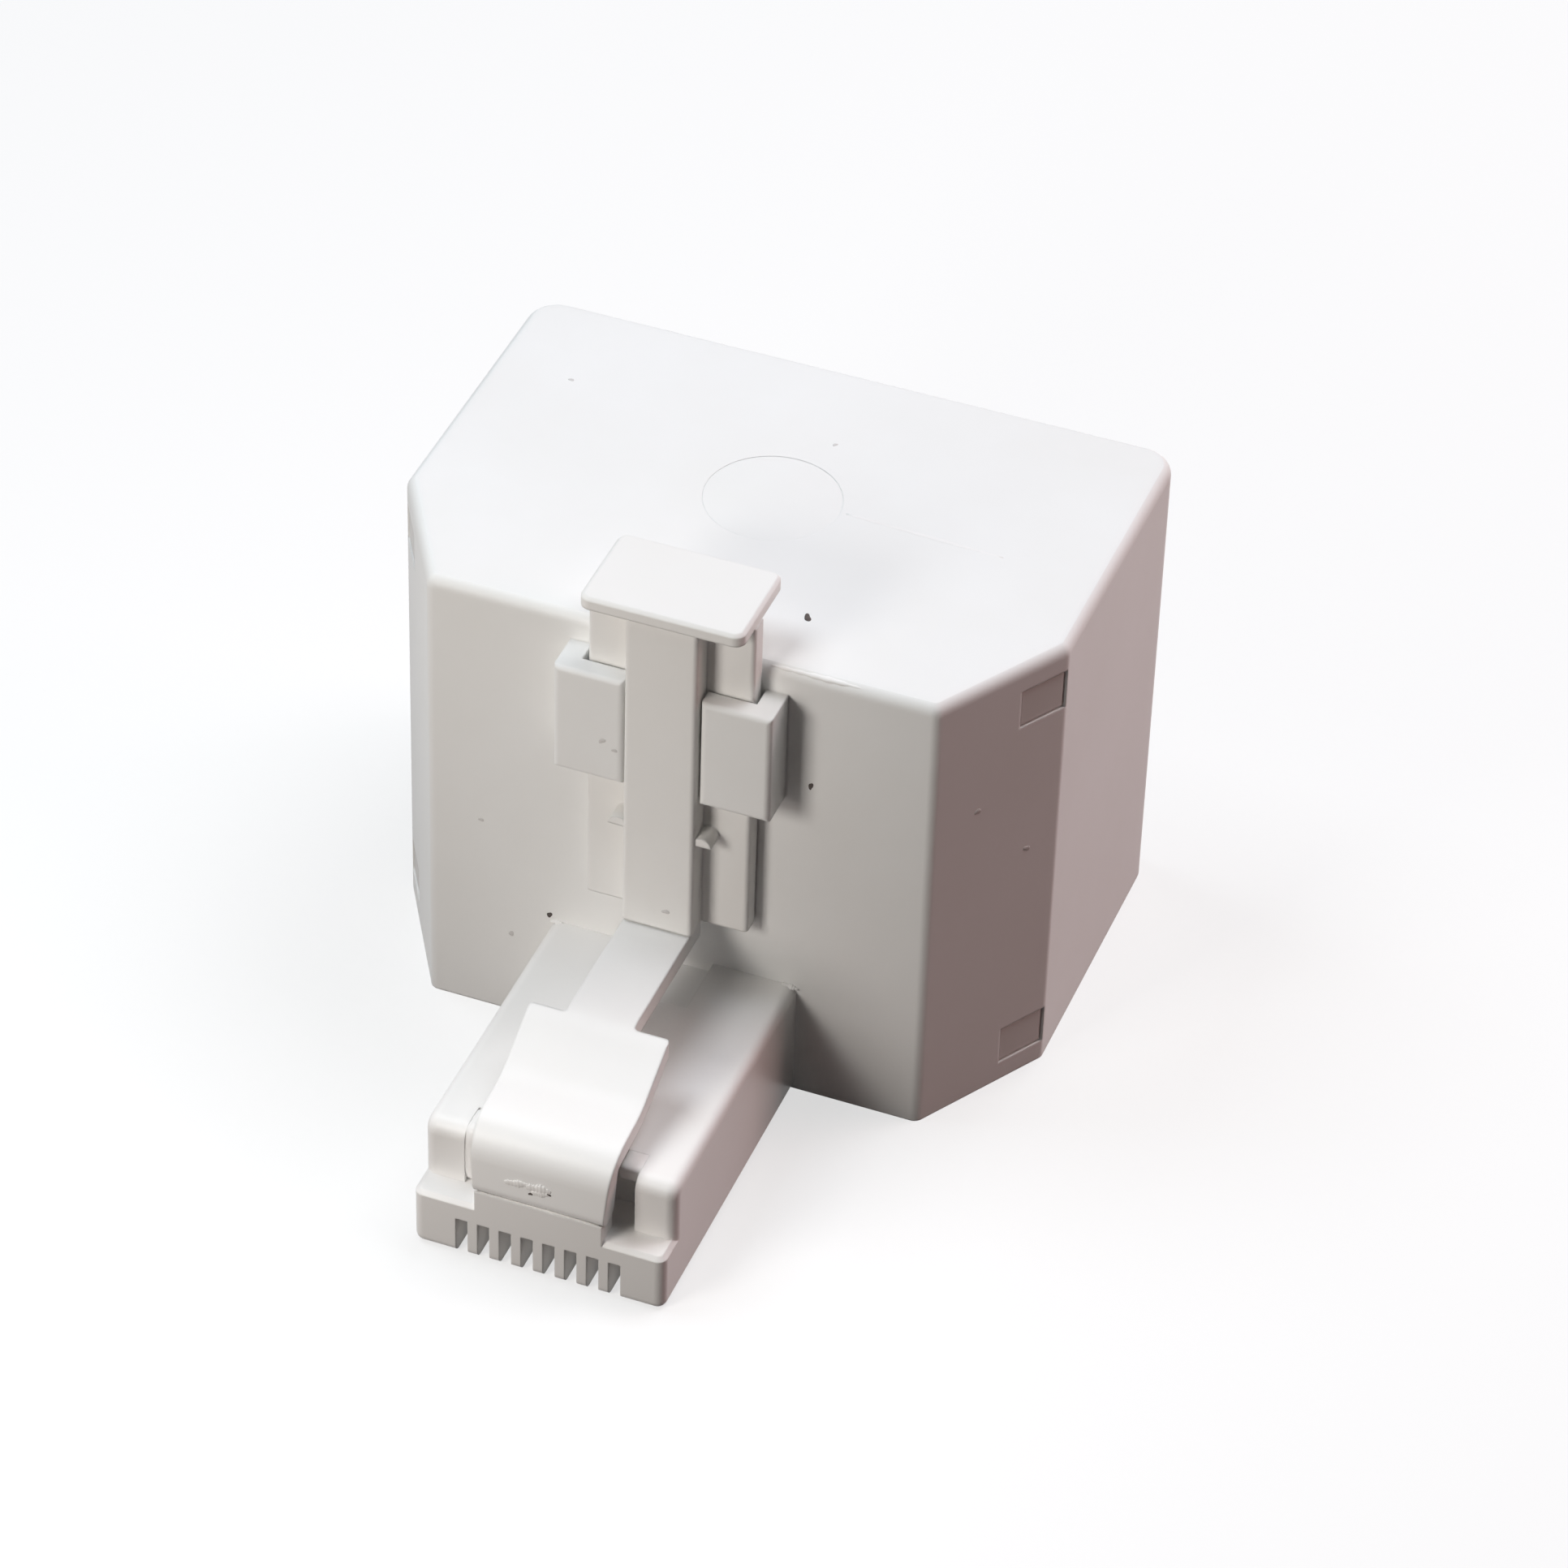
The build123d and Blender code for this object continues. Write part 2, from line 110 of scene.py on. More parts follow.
# %% [markdown]
# ## Moulded ABS
# The housing, plug, latch, slider and block are injection-moulded white ABS. The mould's
# fine grain breaks up the gloss, and old plastic is never one even tone: it yellows in
# soft patches and picks up handling grime in the grain. A flat colour would look like a
# drawing, so noise at two sizes, patch and grain, drives colour, gloss and relief.
# No moulded edge is knife sharp either. The CAD solids carry the large radii, and the
# Bevel node rounds the light over the rest as a worn mould does, so that each edge
# catches a thin highlight. Above a given height the surface is rubbed by fingers, which
# turns its small steps most of the way back to flat: the round mark that the ejector pin
# left on the housing's top is only just seen.


# %% Moulded ABS
PATCH = 7.0  # mm across a yellowed patch
GRAIN_RELIEF = 0.02  # mm
GLOSS_SWING = 0.06  # of roughness, up and down
RUBBED_FADE = 0.01  # mm of height in which the rubbing sets in
RUBBED_SHARE = 0.75  # of the way back to flat
NEVER_RUBBED = 1000.0  # mm, far above the part


def moulded_abs(name, clean, aged, roughness, grain_mm, edge_mm, rubbed_mm=NEVER_RUBBED):
    """Satin moulded ABS: two whites mixed by patches, gloss and relief from the grain, softened edges."""
    material, tree = new_material(name)
    place = add(tree, "ShaderNodeTexCoord").outputs["Object"]
    patches = add(
        tree,
        "ShaderNodeTexNoise",
        {"Vector": place, "Scale": 1 / (PATCH * MM), "Detail": 3.0, "Roughness": 0.55},
    )
    # real grain is about 0.05 mm, drawn coarser here so that it shows
    grain = add(
        tree,
        "ShaderNodeTexNoise",
        {"Vector": place, "Scale": 1 / (grain_mm * MM), "Detail": 2.0, "Roughness": 0.6},
    )
    tone = add(
        tree,
        "ShaderNodeMix",
        {0: patches.outputs["Fac"], 6: linear(clean), 7: linear(aged)},
        data_type="RGBA",
    )
    gloss = add(
        tree,
        "ShaderNodeMapRange",
        {
            "Value": grain.outputs["Fac"],
            "To Min": roughness - GLOSS_SWING,
            "To Max": roughness + GLOSS_SWING,
        },
    )
    edge = add(tree, "ShaderNodeBevel", {"Radius": edge_mm * MM}, samples=4)
    height = add(tree, "ShaderNodeSeparateXYZ", {"Vector": place})
    rubbed = add(
        tree,
        "ShaderNodeMapRange",
        {
            "Value": height.outputs["Z"],
            "From Min": (rubbed_mm - RUBBED_FADE) * MM,
            "From Max": rubbed_mm * MM,
            "To Max": RUBBED_SHARE,
        },
    )
    worn = add(
        tree,
        "ShaderNodeMix",
        {0: rubbed.outputs["Result"], 4: edge.outputs["Normal"], 5: (0.0, 0.0, 1.0)},
        data_type="VECTOR",
    )
    relief = add(
        tree,
        "ShaderNodeBump",
        {
            "Height": grain.outputs["Fac"],
            "Strength": 0.2,
            "Distance": GRAIN_RELIEF * MM,
            "Normal": worn.outputs[1],
        },
    )
    shader = add(
        tree,
        "ShaderNodeBsdfPrincipled",
        {
            "Base Color": tone.outputs[2],
            "Roughness": gloss.outputs["Result"],
            "Normal": relief.outputs["Normal"],
            "IOR": 1.54,
            "Specular IOR Level": 0.2,
        },
    )
    add(tree, "ShaderNodeOutputMaterial", {"Surface": shader.outputs["BSDF"]})
    return material


print("moulded ABS has patches of", PATCH, "mm and a relief of", GRAIN_RELIEF, "mm")

# %% [markdown]
# ## The plastics
# Each moulding came out of its own mould, so each has its own white, gloss, grain and edge.
# One shared material would be quicker, but then the pieces would melt into one another.
# The housing is rubbed from just below the floor of its ejector mark, and that height is
# counted down from the top of the housing's box.


# %% Seven plastics
def box_mm(name):
    """A node's lowest and highest corners in millimetres, rounded to a tenth of a micrometre."""
    return [(np.array(corner) / MM).round(4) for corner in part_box(name)]


EJECTOR_DEPTH = 0.06  # mm, as in the CAD
EJECTOR_SUNK = 0.01  # mm that the disc made below goes into the floor of the ejector mark
housing_low, housing_high = box_mm("housing_shell")
top_z = housing_high[2]
ejector_foot = top_z - EJECTOR_DEPTH - EJECTOR_SUNK

# each line gives the clean and the aged white, the roughness, and the grain and edge in mm:
# satin white, a little yellowed in patches, as moulded housings become
housing_abs = moulded_abs(
    "housing_moulded_abs", "#F5F5F4", "#EEEDEA", 0.42, 0.3, 0.14, rubbed_mm=ejector_foot
)
block_abs = moulded_abs("block_moulded_abs", "#E6E4E2", "#DEDBD7", 0.45, 0.3, 0.1)
plug_abs = moulded_abs("plug_moulded_abs", "#F4F3F2", "#EDEBE8", 0.36, 0.25, 0.1)
latch_abs = moulded_abs("latch_moulded_abs", "#F6F6F5", "#F0EFED", 0.32, 0.25, 0.18)
slider_abs = moulded_abs("slider_moulded_abs", "#F5F4F2", "#EDEBE7", 0.38, 0.25, 0.15)
# part of the plug, but too small to have its edges softened by the Bevel node
web_abs = moulded_abs("web_moulded_abs", "#F4F3F2", "#EDEBE8", 0.36, 0.25, 0.0)
# torn or squeezed out, so its edges are left sharp
flash_abs = moulded_abs("flash_torn_abs", "#F7F6F5", "#F1EFEC", 0.4, 0.25, 0.0)
plastics = (housing_abs, block_abs, plug_abs, latch_abs, slider_abs, web_abs, flash_abs)
print("plastics:", [plastic.name for plastic in plastics])

# %% [markdown]
# ## Contact carriers
# The combs that hold the socket springs are a glass-filled nylon: ivory, duller than the
# housing, and faintly streaked along the flow of the melt. A wave would draw the streaks
# too evenly, so noise is squeezed across the flow instead.

# %% Ivory carrier nylon
STREAK = 1.2  # mm along the flow, and a quarter of that across it
carrier_nylon, tree = new_material("carrier_glass_filled_nylon")
place = add(tree, "ShaderNodeTexCoord").outputs["Object"]
flow = add(tree, "ShaderNodeMapping", {"Vector": place, "Scale": (4.0, 1.0, 4.0)})
streaks = add(
    tree,
    "ShaderNodeTexNoise",
    {"Vector": flow.outputs["Vector"], "Scale": 1 / (STREAK * MM), "Detail": 3.0},
)
tone = add(
    tree,
    "ShaderNodeMix",
    {0: streaks.outputs["Fac"], 6: linear("#E3DCCB"), 7: linear("#D2C8B2")},
    data_type="RGBA",
)
shader = add(
    tree, "ShaderNodeBsdfPrincipled", {"Base Color": tone.outputs[2], "Roughness": 0.55, "IOR": 1.53}
)
add(tree, "ShaderNodeOutputMaterial", {"Surface": shader.outputs["BSDF"]})
print("made", carrier_nylon.name)

# %% [markdown]
# ## Gold-flashed contacts
# Blades and springs are stamped phosphor bronze with a thin flash of gold. The stamping
# leaves fine drawn lines along the strip. They could be cut as relief, but they are too fine
# for that, so they only change the gold's tone and gloss from line to line.

# %% Gold flash on bronze
DRAWN_LINE = 0.8  # mm along the strip, and an eighth of that across it
contact_gold, tree = new_material("contact_gold_flash_on_bronze")
place = add(tree, "ShaderNodeTexCoord").outputs["Object"]
drawn = add(tree, "ShaderNodeMapping", {"Vector": place, "Scale": (8.0, 1.0, 8.0)})
lines = add(
    tree,
    "ShaderNodeTexNoise",
    {"Vector": drawn.outputs["Vector"], "Scale": 1 / (DRAWN_LINE * MM), "Detail": 2.0},
)
tone = add(
    tree,
    "ShaderNodeMix",
    {0: lines.outputs["Fac"], 6: linear("#E2BE6E"), 7: linear("#C99A4A")},
    data_type="RGBA",
)
gloss = add(tree, "ShaderNodeMapRange", {"Value": lines.outputs["Fac"], "To Min": 0.18, "To Max": 0.34})
shader = add(
    tree,
    "ShaderNodeBsdfPrincipled",
    {"Base Color": tone.outputs[2], "Roughness": gloss.outputs["Result"], "Metallic": 1.0},
)
add(tree, "ShaderNodeOutputMaterial", {"Surface": shader.outputs["BSDF"]})
print("made", contact_gold.name)

# %% [markdown]
# ## Circuit board
# The board is glass-epoxy under green solder mask. Copper runs show as lighter bands
# where the mask lies over metal, and the weave of the glass shows through the mask as a
# faint regular ripple. Both repeat evenly, as the bands of a Wave texture do, so there is
# one such texture for each.

# %% Solder-masked board
WEAVE_PITCH = 0.8  # mm for bands along X, and about 1.1 mm for the diagonal ones used here
RUN_PITCH = 2.032  # mm, two contacts apart
WAVE_SCALE = math.pi / 10  # at this scale the bands along X are one unit apart
MASK_RELIEF = 0.02  # mm
board_mask, tree = new_material("board_solder_mask_on_glass_epoxy")
place = add(tree, "ShaderNodeTexCoord").outputs["Object"]
weave = add(
    tree,
    "ShaderNodeTexWave",
    {"Vector": place, "Scale": WAVE_SCALE / (WEAVE_PITCH * MM)},
    bands_direction="DIAGONAL",
)
runs = add(
    tree,
    "ShaderNodeTexWave",
    {"Vector": place, "Scale": WAVE_SCALE / (RUN_PITCH * MM)},
    bands_direction="X",
)
band = add(tree, "ShaderNodeMapRange", {"Value": runs.outputs["Fac"], "From Min": 0.6, "From Max": 0.7})
tone = add(
    tree,
    "ShaderNodeMix",
    {0: band.outputs["Result"], 6: linear("#1E5A34"), 7: linear("#2F7A48")},
    data_type="RGBA",
)
relief = add(
    tree,
    "ShaderNodeBump",
    {"Height": weave.outputs["Fac"], "Strength": 0.3, "Distance": MASK_RELIEF * MM},
)
shader = add(
    tree,
    "ShaderNodeBsdfPrincipled",
    {"Base Color": tone.outputs[2], "Roughness": 0.3, "IOR": 1.5, "Normal": relief.outputs["Normal"]},
)
add(tree, "ShaderNodeOutputMaterial", {"Surface": shader.outputs["BSDF"]})
print("made", board_mask.name)

# %% [markdown]
# ## Finishes onto the solids
# Each CAD node keeps its mesh and only takes a material on its slots. The name of a node
# says which finish it gets.

# %% Materials on the nodes
finishes = {
    "housing_shell": housing_abs,
    "socket_block": block_abs,
    "plug_body": plug_abs,
    "plug_latch": latch_abs,
    "release_slider": slider_abs,
    "circuit_board": board_mask,
    "carrier": carrier_nylon,
    "contact_": contact_gold,
    "spring_": contact_gold,
}
for name, solid in nodes.items():
    finish = next(material for key, material in finishes.items() if key in name)
    solid.data.materials.clear()
    solid.data.materials.append(finish)
print("finished", len(nodes), "nodes")

# %% [markdown]
# ## Small marks
# A used moulding carries marks that a CAD solid leaves out: the torn stub where the plastic
# entered the latch's mould, beads of flash beside the plug and on the top edge, a film at
# the latch's root, a witness line across the top, and specks of dirt; two dark specks under
# the stub are painted shadow. They could be painted on as bump, but only a real shape keeps
# its outline and its shadow up close. Each is a low skin, partly sunk in the surface that
# carries it. A skin is a stack of closed rings, so one function turns any such stack into
# faces, with flat ends.


# %% Rings to a skin
def skin(rings):
    """Points, quads between each ring and the next, and the flat ends on the first and the last ring."""
    count, around = rings.shape[:2]
    index = np.arange(count * around).reshape(count, around)
    turned = np.roll(index, -1, axis=1)
    sides = np.stack([index[:-1], turned[:-1], turned[1:], index[1:]], axis=-1).reshape(-1, 4)
    return rings.reshape(-1, 3), sides, np.stack([index[0, ::-1], index[-1]])


def mark(name, stacks, material, body):
    """One smooth mesh piece from several stacks of rings in millimetres, riding on a body."""
    points, faces, start = [], [], 0
    for rings in stacks:
        corners, sides, ends = skin(rings)
        points.append(corners)
        faces += (sides + start).tolist() + (ends + start).tolist()
        start += len(corners)
    mesh = bpy.data.meshes.new(name)
    mesh.from_pydata((np.concatenate(points) * MM).tolist(), [], faces)
    mesh.polygons.foreach_set("use_smooth", np.ones(len(faces), dtype=bool))
    mesh.materials.append(material)
    thing = bpy.data.objects.new(name, mesh)
    bpy.context.scene.collection.objects.link(thing)
    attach(thing, body)
    print(name, "on", body, "with", len(faces), "faces")


# %% [markdown]
# ## Places on the solids
# The marks lie on faces of the solids. A node's box gives the places of its outermost
# faces, and the others are counted from those. Each face also has a way that it looks, its
# normal. The plug points to the front, which is the way of falling Y.

# %% Faces and the ways they look
CLIP_REACH = 2.0  # mm from the front wall to the front of the guide clips
PAD_OVERHANG = 0.2  # mm that the slider's pad stands out over its stem
clip_y = housing_low[1]
wall_y = clip_y + CLIP_REACH
plug_low, plug_high = box_mm("plug_body")
nose_y, plug_z = plug_low[1], plug_high[2]
stem_y = box_mm("release_slider")[0][1] + PAD_OVERHANG
UP, FRONT = (0, 0, 1), (0, -1, 0)
CORNER = (0.8605, -0.5094, 0)  # square to the cut-off front corner
print("top", top_z, "wall", wall_y, "clips", clip_y, "stem", stem_y, "nose", nose_y, "plug", plug_z)

# %% [markdown]
# ## Flash, stub, film and witness line
# These are beads of the part's own plastic. A bead follows a straight line from one end to
# the other, and its cross-section is an ellipse. The line runs on the surface or a little
# below it, so half of the ellipse or less shows. The half-width and the height swell from
# nothing at the ends and waver a little on the way, as torn or squeezed plastic does. A
# plain tube would be simpler, but it would look like a wire laid on the part.


# %% Bead shape
def per_ring(values):
    """One value for each ring, shaped to spread over the ring's points and their coordinates."""
    return np.array(values)[:, None, None]


def round_angles(count):
    """Even angles round a ring, shaped to spread over the rings and the coordinates."""
    return np.linspace(0, 2 * np.pi, count, endpoint=False)[None, :, None]


def bead(start, end, normal, half_width, height, waver):
    """Ellipses along a line, with both half-axes multiplied by two functions of the share of the way.

    The first is sin(pi share) ** 0.4, which swells from nothing at the ends.
    The second is 1 + waver * sin(17 share + 1) * sin(29 share), which wavers on the way.
    """
    start, end, normal = (np.array(v, dtype=float) for v in (start, end, normal))
    along = (end - start) / np.linalg.norm(end - start)
    across = np.cross(normal, along)
    tip = 0.02  # the first and last rings stop this share short of the ends
    share = per_ring(np.linspace(tip, 1 - tip, 25))
    angle = round_angles(count=16)
    swell = np.sin(np.pi * share) ** 0.4 * (1 + waver * np.sin(17 * share + 1) * np.sin(29 * share))
    ring = half_width * np.cos(angle) * across + height * np.sin(angle) * normal
    return start + (end - start) * share + swell * ring


# %% Beads
# each bead gives its two ends, the way it stands out, its half-width, height and waver
stub = [
    bead((-1.6, nose_y + 0.07, 4.92), (-0.45, nose_y + 0.08, 5.1), FRONT, 0.17, 0.045, 0.35),
    bead((-0.6, nose_y + 0.075, 4.98), (0.6, nose_y + 0.08, 5.06), FRONT, 0.24, 0.05, 0.4),
    bead((-0.35, nose_y + 0.055, 4.74), (0.5, nose_y + 0.055, 4.88), FRONT, 0.15, 0.04, 0.3),
]
mark("gate_stub", stub, flash_abs, "latch")

# in the crease between the wall and the plug's top
flash_y = wall_y - 0.05
flash = [
    bead((5.15, flash_y, plug_z + 0.02), (5.95, flash_y, plug_z - 0.1), (0.2, -0.6, 0.8), 0.12, 0.1, 0.4),
    bead((-5.9, flash_y, plug_z - 0.05), (-5.3, flash_y, plug_z + 0.02), (-0.2, -0.6, 0.8), 0.1, 0.07, 0.4),
]
mark("plug_flash", flash, flash_abs, "housing")

# on the rounding of the top's front edge
burr_y, burr_z = wall_y + 0.226, top_z - 0.211
burr = bead((3.9, burr_y, burr_z), (8.6, burr_y, burr_z), (0, -0.64, 0.77), 0.12, 0.08, 0.25)
mark("edge_burr", [burr], flash_abs, "housing")

witness = bead((3.2, 8.25, top_z), (10.9, 7.95, top_z), UP, 0.1, 0.006, 0.3)
mark("witness_line", [witness], flash_abs, "housing")

# in the gap between the latch's root and the nose
film_y, film_z = nose_y + 0.11, 3.895
film = bead((-2.9, film_y, film_z), (2.9, film_y, film_z), UP, 0.034, 0.02, 0.1)
mark("root_film", [film], flash_abs, "housing")

# %% [markdown]
# ## Webs beside the latch
# The plug's top runs on to the latch on both sides of the pocket that the latch's root sits
# in. On the left it closes the pocket, and on the right it leaves a dark mouth below. Both
# webs are bars with a rounded oblong section, set into the rail beside them, and they leave
# room for the latch when it is pressed. A box would do the same, but with sharp edges.


# %% Webs
def web(left, right, middle, half):
    """Rings across X, with ends a little smaller than the length between them.

    Y and Z are the half-sizes times the cosine and the sine of an angle, each to the power
    0.5 with its sign kept, which gives an oblong with round corners.
    """
    rim = 0.04  # mm from the smaller end to the full size
    end_size = 0.92
    across = per_ring([left, left + rim, right - rim, right])
    size = per_ring([end_size, 1.0, 1.0, end_size])
    angle = round_angles(count=64)
    wave = np.concatenate([0 * angle, np.cos(angle), np.sin(angle)], axis=-1)
    section = np.sign(wave) * np.abs(wave) ** 0.5 * np.array(half)
    return across * np.array([1.0, 0.0, 0.0]) + np.array(middle) + size * section


webs = [
    web(left=3.02, right=3.98, middle=(0.0, nose_y + 2.6, plug_z - 0.417), half=(0.0, 0.78, 0.42)),
    web(left=-3.98, right=-3.42, middle=(0.0, nose_y + 2.26, plug_z - 1.553), half=(0.0, 0.94, 1.55)),
]
mark("pocket_webs", webs, web_abs, "housing")

# %% [markdown]
# ## Ejector disc
# The pin that pushed the housing out of its mould left a round mark on the top. The CAD
# solid has it as a shallow step. On the real part the pin's end stood almost flush, so a
# low disc fills the step and leaves only a hairline round its rim. A drawn ring in the
# material would slip as soon as the top changed, while the disc sits in the step itself.


# %% Disc
def low_disc(middle, radius, foot, crown, drop):
    """Rings round a centre: the first at the foot, and the others just below the crown.

    They lie below it by drop times the thirtieth power of the share of the radius, so that
    only the rim falls.
    """
    share = per_ring([1.0, 1.0, 0.98, 0.9, 0.5])
    angle = round_angles(count=128)
    height = crown - drop * share**30
    height[0] = foot
    circle = np.concatenate([np.cos(angle), np.sin(angle), 0 * angle], axis=-1)
    return np.array(middle) + radius * share * circle + height * np.array(UP)


EJECTOR_BACK = 10.95  # mm behind the front wall, as in the CAD
EJECTOR_RADIUS = 3.1  # mm, as in the CAD
RIM_BITE = 0.004  # mm that the disc goes into the wall of the step
BELOW_TOP = 0.008  # mm from the housing's top down to the disc's
disc = low_disc(
    middle=(0.0, wall_y + EJECTOR_BACK, 0.0),
    radius=EJECTOR_RADIUS + RIM_BITE,
    foot=ejector_foot,
    crown=top_z - BELOW_TOP,
    drop=0.006,
)
mark("ejector_disc", [disc], housing_abs, "housing")

# %% [markdown]
# ## Dried grime and painted shadow
# The dark grains of dirt are fresh, and the pale ones are half wiped off. The dark finish also
# colours two specks under the gate stub that are painted shadow. Dried grime is matt and
# clotted. One flat tone would look like ink, so a fine noise mixes two.


# %% Grain finishes
CLOT = 0.1  # mm


def speck_finish(name, dark, pale):
    """Matt finish for specks of dried grime and of painted shadow: two tones mixed by noise at the size of
    a clot.
    """
    material, tree = new_material(name)
    place = add(tree, "ShaderNodeTexCoord").outputs["Object"]
    clots = add(tree, "ShaderNodeTexNoise", {"Vector": place, "Scale": 1 / (CLOT * MM), "Detail": 2.0})
    tone = add(
        tree,
        "ShaderNodeMix",
        {0: clots.outputs["Fac"], 6: linear(dark), 7: linear(pale)},
        data_type="RGBA",
    )
    shader = add(tree, "ShaderNodeBsdfPrincipled", {"Base Color": tone.outputs[2], "Roughness": 0.9})
    add(tree, "ShaderNodeOutputMaterial", {"Surface": shader.outputs["BSDF"]})
    return material


fresh_grime_and_shadow = speck_finish("fresh_grime_and_painted_shadow", "#3A3432", "#6B625E")
wiped_grime = speck_finish("wiped_dried_grime", "#CBC8C6", "#DDDAD8")
print("grime:", fresh_grime_and_shadow.name, wiped_grime.name)

# %% [markdown]
# ## Specks of dirt and of painted shadow
# Dirt sits as flat grains with an uneven outline. A squashed ball would look like a drop,
# so each grain is a low dome whose outline is a circle pushed in and out by two waves. Its
# rings shrink as the cosine of an angle while their height grows as its sine.


# %% Grain shape
def grain(place, normal, radius, stretch, turn):
    """Rings at the height 0.25 radius sin(lift) over the surface, for rising angles of lift.

    Their radius is radius * cos(lift) * (1 + 0.2 cos(2 angle + turn) + 0.12 cos(3 angle)),
    stretched along one way in the surface, which the turn sets.
    """
    place, normal = np.array(place, dtype=float), np.array(normal, dtype=float)
    normal /= np.linalg.norm(normal)
    slant = (0.3, 0.5, 0.81)  # any way that isn't a face's own normal
    aside = np.cross(normal, slant)
    aside /= np.linalg.norm(aside)
    aside = math.cos(turn) * aside + math.sin(turn) * np.cross(normal, aside)
    ahead = np.cross(normal, aside)
    # from a little under the surface to nearly the top of the dome
    lift = per_ring(np.linspace(-0.2, 1.45, 7))
    angle = round_angles(count=18)
    reach = radius * np.cos(lift) * (1 + 0.2 * np.cos(2 * angle + turn) + 0.12 * np.cos(3 * angle))
    outline = np.cos(angle) * aside * stretch + np.sin(angle) * ahead
    return place + reach * outline + 0.25 * radius * np.sin(lift) * normal


# %% Grains
fresh = [
    grain((4.44, 0.71, top_z), UP, radius=0.16, stretch=1.5, turn=-0.68),
    grain((6.15, wall_y, 17.55), FRONT, radius=0.1, stretch=2.0, turn=1.92),
    grain((-5.95, wall_y, 6.25), FRONT, radius=0.12, stretch=1.3, turn=2.0),
]
mark("fresh_specks", fresh, fresh_grime_and_shadow, "housing")
wiped = [
    grain((-11.49, 12.74, top_z), UP, radius=0.1, stretch=1.2, turn=0.8),
    grain((1.13, 12.8, top_z), UP, radius=0.09, stretch=1.4, turn=1.9),
    grain((-9.23, wall_y, 10.7), FRONT, radius=0.1, stretch=1.2, turn=0.5),
    grain((-7.8, wall_y, 4.54), FRONT, radius=0.12, stretch=1.3, turn=2.6),
    grain((13.01, -0.68, 16.66), CORNER, radius=0.15, stretch=1.1, turn=1.0),
    grain((14.52, 1.87, 13.12), CORNER, radius=0.15, stretch=1.2, turn=0.3),
    grain((-2.71, clip_y, 18.76), FRONT, radius=0.13, stretch=1.3, turn=1.4),
    grain((-2.13, clip_y, 18.39), FRONT, radius=0.1, stretch=1.2, turn=0.6),
]
mark("wiped_specks", wiped, wiped_grime, "housing")
# two dark specks under the gate stub: painted shadow where the stub shades the latch's front, not dirt
painted_stub_shadow = [
    grain((-0.35, nose_y + 0.035, 4.68), FRONT, radius=0.08, stretch=1.2, turn=0.9),
    grain((0.5, nose_y + 0.05, 4.9), FRONT, radius=0.06, stretch=1.5, turn=0.1),
]
mark("stub_painted_shadow", painted_stub_shadow, fresh_grime_and_shadow, "latch")
stem_grain = grain((0.44, stem_y, 10.3), FRONT, radius=0.13, stretch=1.3, turn=0.7)
mark("stem_specks", [stem_grain], wiped_grime, "slider")

# %% [markdown]
# ## Studio
# The part stands on a pale floor. The floor looks white to the camera and in reflections,
# with part of its brightness its own so that the paper stays clean, and the rest lit so
# that the soft shadow is kept. For light that bounces back onto the part it is a dark
# brown, like a wooden table top. The Light Path node tells the two kinds of ray apart.


# %% Floor
def seen_rays(tree):
    """1 for rays that show the surface, straight, mirrored or through glass, and 0 for bounced light."""
    path = add(tree, "ShaderNodeLightPath")
    seen = path.outputs["Is Camera Ray"]
    for kind in ("Is Glossy Ray", "Is Transmission Ray"):
        either = add(tree, "ShaderNodeMath", {0: seen, 1: path.outputs[kind]}, operation="MAXIMUM")
        seen = either.outputs["Value"]
    return seen


FLOOR_HALF = 1600  # mm
OWN_LIGHT = 0.65  # the share of the paper's white that is its own
corners = np.array([[-1, -1, 0], [1, -1, 0], [1, 1, 0], [-1, 1, 0]]) * FLOOR_HALF * MM
floor_mesh = bpy.data.meshes.new("studio_floor")
floor_mesh.from_pydata(corners.tolist(), [], [(0, 1, 2, 3)])
floor = bpy.data.objects.new("studio_floor", floor_mesh)
bpy.context.scene.collection.objects.link(floor)

paper, tree = new_material("studio_paper")
lit = add(tree, "ShaderNodeBsdfDiffuse", {"Color": linear("#FFFFFF")})
own = add(tree, "ShaderNodeEmission", {"Color": linear("#FFFFFF"), "Strength": 1.0})
white = add(
    tree, "ShaderNodeMixShader", {0: OWN_LIGHT, 1: lit.outputs["BSDF"], 2: own.outputs["Emission"]}
)
bounce = add(tree, "ShaderNodeBsdfDiffuse", {"Color": linear("#3A2F2D")})
sweep = add(
    tree,
    "ShaderNodeMixShader",
    {0: seen_rays(tree), 1: bounce.outputs["BSDF"], 2: white.outputs["Shader"]},
)
add(tree, "ShaderNodeOutputMaterial", {"Surface": sweep.outputs["Shader"]})
floor_mesh.materials.append(paper)
print("floor", 2 * FLOOR_HALF, "mm square")

# %% [markdown]
# ## Light
# Five soft lamps stand close to the part, as round a small product table. Wide ones high on
# the left and behind light the top evenly, and a weak warm one low on the right lifts the
# side wall. A small near one at the front left is the key: it models the front, throws
# narrow shadows to the right, and fades across the wall. A faint low one in front fills the
# plug's nose.


# %% Lamps
def away(azimuth, elevation):
    """The way out from the part at a compass angle, 0 in front of the plug, and a height, in radians."""
    level = math.cos(elevation)
    return np.array([math.sin(azimuth) * level, -math.cos(azimuth) * level, math.sin(elevation)])


LAMP_AIM = np.array([0.0, 4.0, 11.0])  # mm, about the middle of the part


